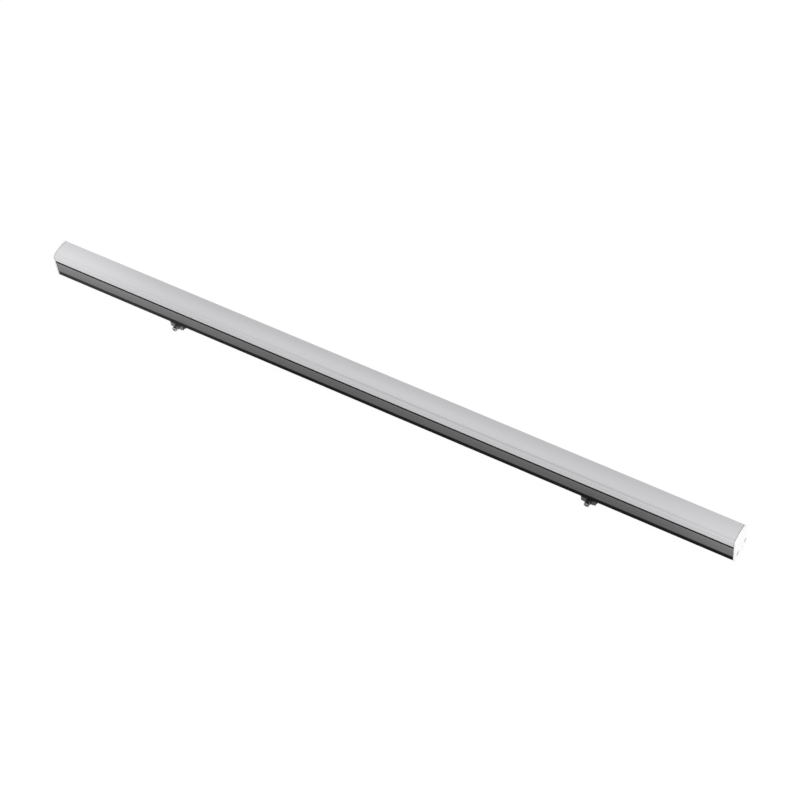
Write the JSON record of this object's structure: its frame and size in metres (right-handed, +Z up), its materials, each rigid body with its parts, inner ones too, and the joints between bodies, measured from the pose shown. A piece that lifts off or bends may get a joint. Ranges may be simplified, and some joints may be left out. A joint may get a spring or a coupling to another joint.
{
  "type": "linear wall washer light",
  "caption": "Slim straight LED bar for outdoor walls: milky cover on a dark aluminium channel, white end caps, on two sliding clamp clips with screw-driven jaws.",
  "frame": {"origin": "under the middle of the bar, on the surface that the two clips stand on", "axes": "+X along the bar, -Y to the front where the clamp screws' heads are, +Z up through the milky cover"},
  "size_m": [1, 0.0382, 0.0536],
  "materials": {
    "anodised_aluminium": "dark grey satin anodised extrusion",
    "milky_cover": "milky satin polycarbonate",
    "seal_rubber": "black matt rubber",
    "cap_plastic": "white glossy moulding",
    "gasket_silicone": "grey silicone sheet",
    "stainless_steel": "bright stainless steel",
    "blackened_steel": "blackened steel",
    "grommet_rubber": "black moulded rubber",
    "ring_nylon": "black nylon",
    "board_white": "white solder mask",
    "led_package": "white package with a yellow window",
    "link_plastic": "off-white connector housing",
    "tray_plastic": "natural insulating plastic",
    "driver_laminate": "green laminate",
    "terminal_plastic": "green terminal housing",
    "ferrite": "dark ferrite",
    "rectifier_epoxy": "black moulded epoxy",
    "capacitor_sleeve": "dark blue sleeve",
    "lead_insulation": "red silicone insulation",
    "clip_aluminium": "dark grey anodised extruded and machined clip"
  },
  "bodies": {
    "lamp": {"base_extrusion": "anodised_aluminium", "diffuser": "milky_cover", "seal_front": "seal_rubber", "seal_rear": "seal_rubber", "end_cap_left": "cap_plastic", "end_cap_right": "cap_plastic", "end_gasket_left": "gasket_silicone", "end_gasket_right": "gasket_silicone", "cap_screws_left": "stainless_steel", "cap_screws_right": "stainless_steel", "cable_grommet": "grommet_rubber", "grommet_ring": "ring_nylon", "led_board_left": "board_white", "led_board_right": "board_white", "leds_left": "led_package", "leds_right": "led_package", "board_link": "link_plastic", "board_screws": "stainless_steel", "driver_tray": "tray_plastic", "driver_board": "driver_laminate", "terminal_block": "terminal_plastic", "line_choke": "ferrite", "rectifier": "rectifier_epoxy", "capacitors": "capacitor_sleeve", "transformer": "ferrite", "output_lead": "lead_insulation"},
    "clip_left": {"clip_base_left": "clip_aluminium", "clip_nut_left": "stainless_steel"},
    "jaw_left": {"clip_jaw_left": "clip_aluminium", "flat_washer_left": "blackened_steel", "spring_washer_left": "blackened_steel"},
    "screw_left": {"clamp_screw_left": "stainless_steel"},
    "clip_right": {"clip_base_right": "clip_aluminium", "clip_nut_right": "stainless_steel"},
    "jaw_right": {"clip_jaw_right": "clip_aluminium", "flat_washer_right": "blackened_steel", "spring_washer_right": "blackened_steel"},
    "screw_right": {"clamp_screw_right": "stainless_steel"}
  },
  "joints": [
    {"name": "clip_left_slide", "type": "slide", "parent": "lamp", "child": "clip_left", "axis": [1, 0, 0], "range_m": [-0.1669, 0.2963]},
    {"name": "jaw_left_open", "type": "slide", "parent": "clip_left", "child": "jaw_left", "axis": [0, -1, 0], "range_m": [0, 0.003]},
    {"name": "screw_left_turn", "type": "hinge", "parent": "jaw_left", "child": "screw_left", "pos_m": [-0.3063, 0, 0.0064], "axis": [0, -1, 0], "range_deg": [0, 1542.9]},
    {"name": "clip_right_slide", "type": "slide", "parent": "lamp", "child": "clip_right", "axis": [1, 0, 0], "range_m": [-0.2917, 0.1715]},
    {"name": "jaw_right_open", "type": "slide", "parent": "clip_right", "child": "jaw_right", "axis": [0, -1, 0], "range_m": [0, 0.003]},
    {"name": "screw_right_turn", "type": "hinge", "parent": "jaw_right", "child": "screw_right", "pos_m": [0.3037, 0, 0.0064], "axis": [0, -1, 0], "range_deg": [0, 1542.9]}
  ],
  "couplings": [
    {"joint": "screw_left_turn", "follows": "jaw_left_open", "rad_per_m": 8976},
    {"joint": "screw_right_turn", "follows": "jaw_right_open", "rad_per_m": 8976}
  ]
}
